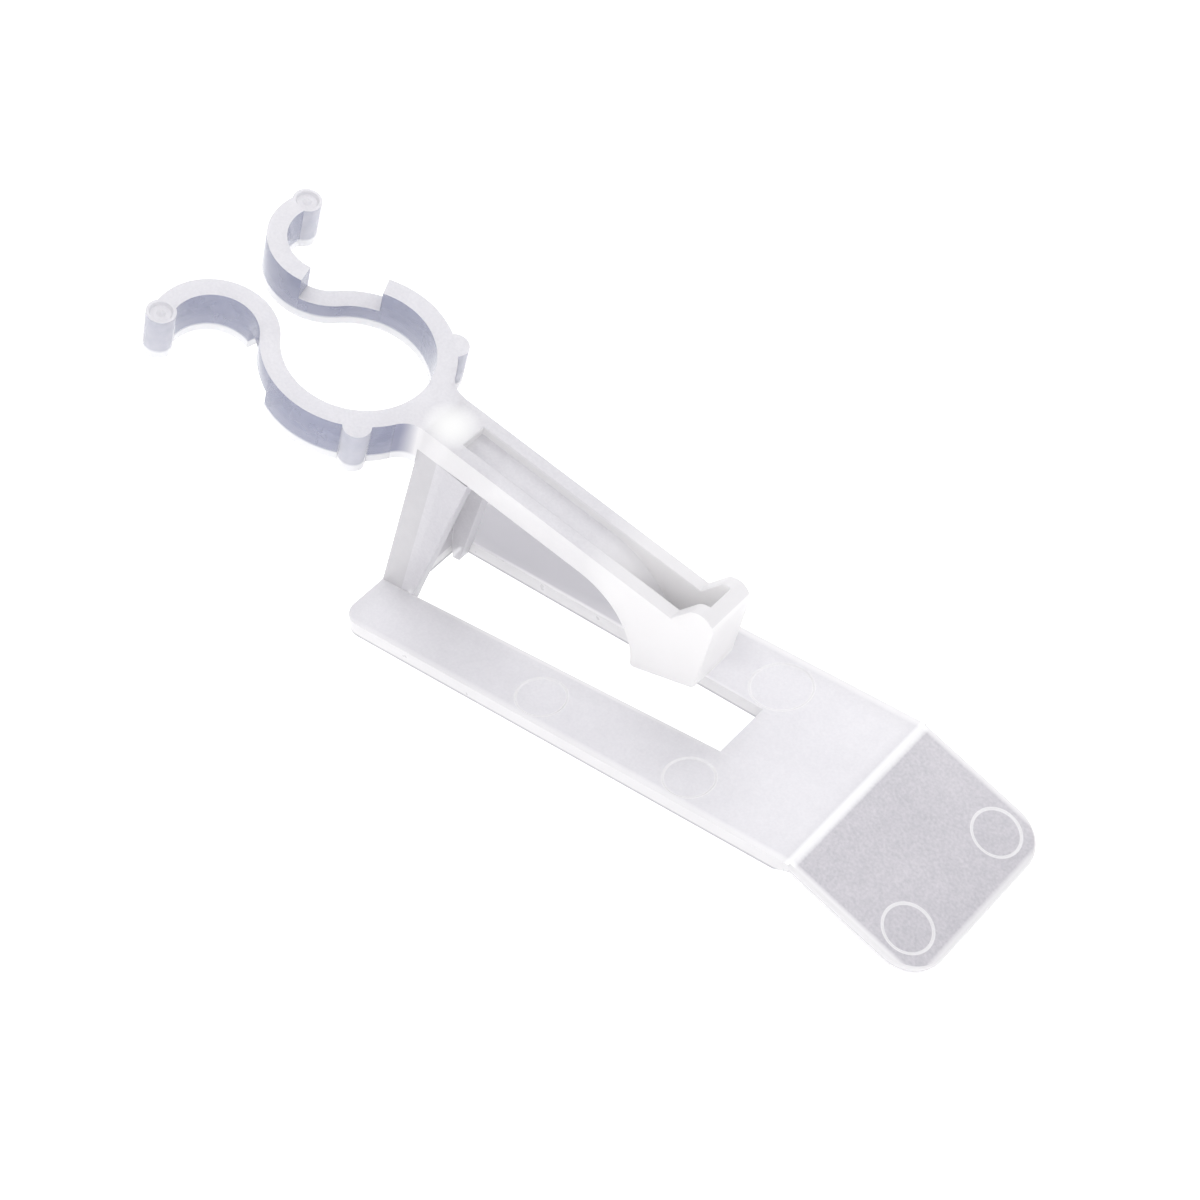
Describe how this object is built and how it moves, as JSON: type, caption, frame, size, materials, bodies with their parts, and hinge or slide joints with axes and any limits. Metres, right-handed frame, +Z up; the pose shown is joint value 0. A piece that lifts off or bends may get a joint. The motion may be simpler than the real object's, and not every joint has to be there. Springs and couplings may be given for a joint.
{
  "type": "spring clip holder",
  "caption": "Translucent moulded clip plate with a lead-in tab, a leg, a sprung hook tongue and an open holding ring with two outward-curling jaws.",
  "frame": {"origin": "on the underside of the clip plate, on its centre line, between the window and the fold", "axes": "+X along the clip plate from the leg towards the lead-in tab, +Z up and square to the plate, +Y across it to the side of the right jaw"},
  "size_m": [0.0871, 0.0228, 0.0343],
  "materials": {
    "milky": "milky translucent moulding with a fine satin top",
    "clear": "clearer translucent moulding with polished side walls",
    "blade": "thin translucent blade with a fine eroded texture"
  },
  "bodies": {
    "clip": {"base_plate": "milky", "lead_in_tab": "blade", "leg_wall": "milky", "leg_rib_left": "clear", "leg_rib_right": "clear", "neck": "milky", "ring_back": "clear", "ring_boss_left": "clear", "ring_boss_right": "clear", "tongue_spring": "milky", "left_jaw_spring": "clear", "right_jaw_spring": "clear"},
    "tongue": {"tongue_channel": "milky", "tongue_nose": "milky", "finger_lip": "milky"},
    "left_jaw": {"left_jaw_arc": "clear", "left_jaw_waist": "clear", "left_horn": "clear", "left_peg": "clear"},
    "right_jaw": {"right_jaw_arc": "clear", "right_jaw_waist": "clear", "right_horn": "clear", "right_peg": "clear"}
  },
  "joints": [
    {"name": "tongue_bend", "type": "hinge", "parent": "clip", "child": "tongue", "pos_m": [-0.03171, 0, 0.01867], "axis": [0, -1, 0], "range_deg": [-10, 10], "stiffness_Nm_per_rad": 1.2, "deforming": ["tongue_spring"]},
    {"name": "left_jaw_bend", "type": "hinge", "parent": "clip", "child": "left_jaw", "pos_m": [-0.04351, -0.00686, 0.0208], "axis": [0.2588, 0, 0.9659], "range_deg": [-6, 12], "stiffness_Nm_per_rad": 0.4, "deforming": ["left_jaw_spring"]},
    {"name": "right_jaw_bend", "type": "hinge", "parent": "clip", "child": "right_jaw", "pos_m": [-0.04351, 0.00686, 0.0208], "axis": [-0.2588, 0, -0.9659], "range_deg": [-6, 12], "stiffness_Nm_per_rad": 0.4, "deforming": ["right_jaw_spring"]}
  ]
}
